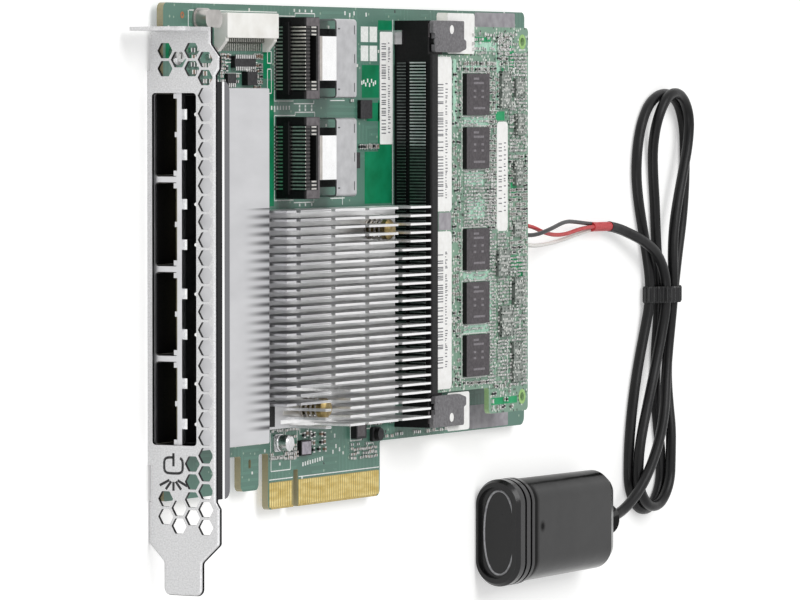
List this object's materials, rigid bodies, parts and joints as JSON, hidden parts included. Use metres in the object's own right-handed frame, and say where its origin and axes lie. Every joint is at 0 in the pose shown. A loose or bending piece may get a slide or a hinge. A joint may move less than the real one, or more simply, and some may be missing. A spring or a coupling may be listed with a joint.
{
  "type": "raid controller card",
  "caption": "Full-height expansion card with external and internal ports, finned heat sink, latched cache module and a capacitor pack on a tied lead.",
  "frame": {"origin": "middle of the base of the card's box, on the table it lies on, taken without the lead, hank and capacitor pack", "axes": "+X along the card from the bracket to the far end, +Y up the card from the edge contacts to the top edge, +Z from the solder side to the component side"},
  "size_m": [0.2733, 0.1358, 0.0178],
  "materials": {
    "black_lcp": "matte",
    "cage_steel": "bright nickel silver",
    "can_aluminium": "bright",
    "chip_resin": "matte moulding",
    "crystal_can": "bright",
    "gold_contact": "thin gold plate",
    "latch_grey": "matte",
    "module_mask": "bright green solder mask",
    "nickel_steel": "fine rolled, nickel plated",
    "pack_film": "gloss shrink film",
    "pad_grey": "soft",
    "push_pin_brass": "dull",
    "screw_steel": "bright",
    "sink_aluminium": "clear anodised",
    "sleeve_black": "satin",
    "solder_mask": "satin green solder mask over copper",
    "spring_bronze": "bright",
    "tinned_copper": "tinned",
    "white_nylon": "matte",
    "wire_black": "satin",
    "wire_red": "satin",
    "wire_white": "satin"
  },
  "bodies": {
    "card": {"board_chips": "chip_resin", "bracket": "nickel_steel", "bracket_screws": "screw_steel", "capacitor_pack": "pack_film", "circuit_board": "solder_mask", "controller_chip": "chip_resin", "crystal_can": "crystal_can", "edge_contacts": "gold_contact", "hank_tie": "sleeve_black", "header_body": "white_nylon", "header_contacts": "tinned_copper", "heat_sink": "sink_aluminium", "heat_sink_pins": "push_pin_brass", "heat_sink_springs": "spring_bronze", "inner_body_1": "black_lcp", "inner_body_2": "black_lcp", "inner_leads_1": "tinned_copper", "inner_leads_2": "tinned_copper", "inner_shell_1": "cage_steel", "inner_shell_2": "cage_steel", "lead_cable_in": "sleeve_black", "lead_cable_out": "sleeve_black", "lead_hank": "sleeve_black", "lead_plug": "white_nylon", "lead_socket": "white_nylon", "memory_chips": "chip_resin", "memory_chips_under": "chip_resin", "module_board": "module_mask", "module_chips": "chip_resin", "module_socket": "black_lcp", "pack_end_cap": "black_lcp", "port_cage": "cage_steel", "port_fingers": "spring_bronze", "port_insert_1": "black_lcp", "port_insert_2": "black_lcp", "port_insert_3": "black_lcp", "port_insert_4": "black_lcp", "power_coil": "chip_resin", "round_capacitor": "can_aluminium", "socket_contacts": "tinned_copper", "socket_locks": "tinned_copper", "socket_tails": "tinned_copper", "thermal_pad": "pad_grey", "wire_black": "wire_black", "wire_red": "wire_red", "wire_white": "wire_white"},
    "latch_upper": {"latch_upper": "latch_grey"},
    "latch_lower": {"latch_lower": "latch_grey"}
  },
  "joints": [
    {"name": "latch_upper_pivot", "type": "hinge", "parent": "card", "child": "latch_upper", "pos_m": [0.0268, 0.0555, 0.0129], "axis": [0, 0, 1], "range_deg": [0, 32]},
    {"name": "latch_lower_pivot", "type": "hinge", "parent": "card", "child": "latch_lower", "pos_m": [0.0268, -0.0278, 0.0129], "axis": [0, 0, -1], "range_deg": [0, 32]}
  ]
}
